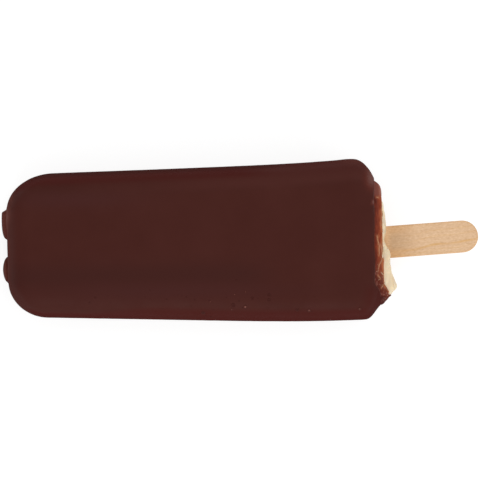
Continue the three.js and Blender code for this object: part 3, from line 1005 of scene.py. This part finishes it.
# Air bubbles that broke as the chocolate set: shallow pits with a low rim
bubbles = {
    "density": 0.07, "spacing": 1.2, "sizes": (0.12, 0.32), "seed": 4,
    "sides": 10,
    # distance from the middle, height and how much of a pit it is, which sets the painted shade darkening
    # it
    "profile": [(0, 0.02, 1), (0.4, 0.03, 1), (0.65, 0.1, 0.5), (0.9, 0.13, 0.2), (1.25, -0.08, 0),
                (0, -0.2, 0)],
    "placed": [  # x, y, radius, and how much pale ice cream shows through it
        (1.45, -20.5, 0.58, 0.8), (21.3, -21.8, 0.56, 0.5), (37.0, -21.5, 0.5, 0.45),
        (-1.85, -16.6, 0.36, 0.35), (-2.8, -21.3, 0.34, 0.35), (1.55, -15.8, 0.34, 0.3),
        (-9.4, -18.8, 0.34, 0.3), (-2.25, -20.0, 0.65, 0), (3.7, -17.9, 0.5, 0),
        (8.9, -16.9, 0.5, 0), (8.9, -18.5, 0.5, 0), (17.6, -21.5, 0.5, 0), (-11.6, -22.2, 0.6, 0),
    ],
}
scatter("air_bubbles", bubbles, turnedShape("crater", bubbles, "pit"), "chocolate", "bubbly")

# Crumbs of ice cream that stuck to the lip
crumbs = {
    "density": 0.45, "spacing": 0.4, "sizes": (0.07, 0.16), "seed": 9, "sides": 8,
    "profile": [(0, 0.35, 0.85), (0.6, 0.25, 0.85), (1.0, 0, 0.85), (0.6, -0.3, 0.85), (0, -0.4, 0.85)],
    "placed": [(44.3, -10.7, 0.24, 0), (42.5, -9.9, 0.18, 0), (43.2, -12.4, 0.16, 0)],
}
scatter("cream_crumbs", crumbs, turnedShape("crumb", crumbs, "film"), "vanilla", "creamy")


# The stick: a block of fine faces, pressed into a slat with round ends and soft edges
def vector(*values):
    return addNode("ShaderNodeCombineXYZ", enumerate(values))[0]


def vectorCalc(operation, inputs):
    return addNode("ShaderNodeVectorMath", inputs, operation=operation)[0]


def stickTree(inputs):
    given = newTree("birchStick", inputs)
    block = geo("MeshCube", {"Size": vector(given["Length"], 2.0, 2.0), "Vertices X": given["Columns"],
                             "Vertices Y": given["Rows"], "Vertices Z": given["Layers"]})
    x, across, through = coordinates(geo("InputPosition"))
    halfLong, halfWide = times(given["Length"], 0.5), times(given["Width"], 0.5)
    straight, fromMiddle = minus(halfLong, halfWide), calc("ABSOLUTE", x)
    endShare = calc("DIVIDE", calc("MAXIMUM", minus(fromMiddle, straight), 0.0), halfWide)
    angle = times(endShare, math.pi / 2)
    endReach = times(halfWide, calc("SINE", angle))
    newX = times(calc("SIGN", x), plus(calc("MINIMUM", fromMiddle, straight), endReach))
    newY = times(times(halfWide, calc("COSINE", angle)), calc("SINE", times(across, math.pi / 2)))
    fromLine = calc("SQRT", plus(calc("POWER", endReach, 2.0), calc("POWER", newY, 2.0)))
    toEdge = calc("MAXIMUM", minus(halfWide, fromLine), 0.0)
    missing = minus(given["Edge"], calc("MINIMUM", toEdge, given["Edge"]))
    squares = minus(calc("POWER", given["Edge"], 2.0), calc("POWER", missing, 2.0))
    flat = minus(times(given["Thickness"], 0.5), given["Edge"])
    newZ = times(through, plus(flat, calc("SQRT", calc("MAXIMUM", squares, 0.0))))
    # where each point is in the wood, from the middle of the far end, for the grain
    slat = store(block, "toEdge", toEdge)
    slat = store(slat, "woodPlace", vector(minus(newX, halfLong), newY, newZ), "FLOAT_VECTOR")
    wood = stored("woodPlace", "FLOAT_VECTOR")
    slat = moved(slat, Position=vectorCalc("ADD", {0: wood, 1: vector(halfLong, 0.0, 0.0)}))
    # raised fibres
    place = vectorCalc("MULTIPLY", {0: wood, 1: [1 / (size * mm) for size in stick["fibreSize"]]})
    fibres = addNode("ShaderNodeTexNoise", {"Vector": place, "Scale": 1.0, "Detail": 2.0})[0]
    height = times(minus(fibres, 0.5), given["Fibre"])
    slat = moved(slat, Offset=vectorCalc("SCALE", {0: geo("InputNormal"), "Scale": height}))
    slat = geo("MergeByDistance", {"Geometry": slat, "Distance": stick["merge"] * mm})
    return endTree(slat, given["Material"])


def makeStick():
    inputs = {"Material": materials["birch"]}
    for name in ("length", "width", "thickness", "edge", "fibre"):
        inputs[name.title()] = stick[name] * mm
    for name in ("columns", "rows", "layers"):
        inputs[name.title()] = stick[name]
    piece = newPiece("birch_stick", [], [], [])
    applyTree(piece, stickTree(inputs), inputs)
    toEnd = Matrix.Translation(Vector((-stick["length"] / 2 * mm, 0, 0)))
    lean = Euler((0, -stick["pitch"], stick["yaw"]), "XYZ").to_matrix().to_4x4()
    place = Matrix.Translation(stickEndPoint * mm + Vector(origin))
    piece.data.transform(place @ lean @ toEnd)
    finishPiece(piece, "birch", "stick")


makeStick()

# Floor, light and camera
studio = {
    "floorSize": 6.0, "worldStrength": 0.62,
    "floor": {"Roughness": 0.9, "Specular IOR Level": 0.0, "Base Color": (0.3, 0.3, 0.3, 1),
              "Emission Color": (1, 1, 1, 1), "Emission Strength": 0.8},
    # direction in degrees from +X, height in degrees, distance, size and power of each light
    "lights": {"key": (62, 60, 1.2, 0.8, 3.0), "fill": (262, 36, 1.3, 1.0, 5.6),
               "end": (-20, 40, 1.3, 0.8, 1.6)},
}
view = {
    "centre": (0.03, 0.32),  # point of the model in the middle of the picture
    "planeHeight": 12.4, "planeWidth": 150.0, "distance": 2000.0, "clipEnd": 10,
    "roll": -0.6,  # the bar rises a little towards its stick
}


def makeStudio():
    bpy.ops.mesh.primitive_plane_add(size=studio["floorSize"], location=(0, 0, 0))
    floor = bpy.context.object
    floor.name = "floor"
    floor.data.materials.append(newMaterial("floor", studio["floor"])[0])
    for name, (around, height, distance, size, power) in studio["lights"].items():
        light = bpy.data.lights.new(name, "AREA")
        light.shape, light.size, light.energy = "DISK", size, power
        lamp = bpy.data.objects.new(name, light)
        a, h = math.radians(around), math.radians(height)
        out = Vector((math.cos(a) * math.cos(h), math.sin(a) * math.cos(h), math.sin(h)))
        lamp.location = out * distance
        lamp.rotation_euler = out.to_track_quat("Z", "Y").to_euler()
        scene.collection.objects.link(lamp)
    world = bpy.data.worlds.new("studio")
    world.use_nodes = True
    background = world.node_tree.nodes["Background"]
    background.inputs["Color"].default_value = (1, 1, 1, 1)
    background.inputs["Strength"].default_value = studio["worldStrength"]
    scene.world = world
    scene.view_settings.view_transform = "Standard"


def makeCamera():
    camera = bpy.data.cameras.new("camera")
    camera.lens = camera.sensor_width * view["distance"] / view["planeWidth"]
    camera.clip_end = view["clipEnd"]
    eye = bpy.data.objects.new("camera", camera)
    x, y = view["centre"]
    eye.location = Vector((x, y, view["planeHeight"] + view["distance"])) * mm
    eye.rotation_euler = (0, 0, math.radians(view["roll"]))
    scene.collection.objects.link(eye)
    scene.camera = eye


makeStudio()
makeCamera()
print("studio and camera are in place")
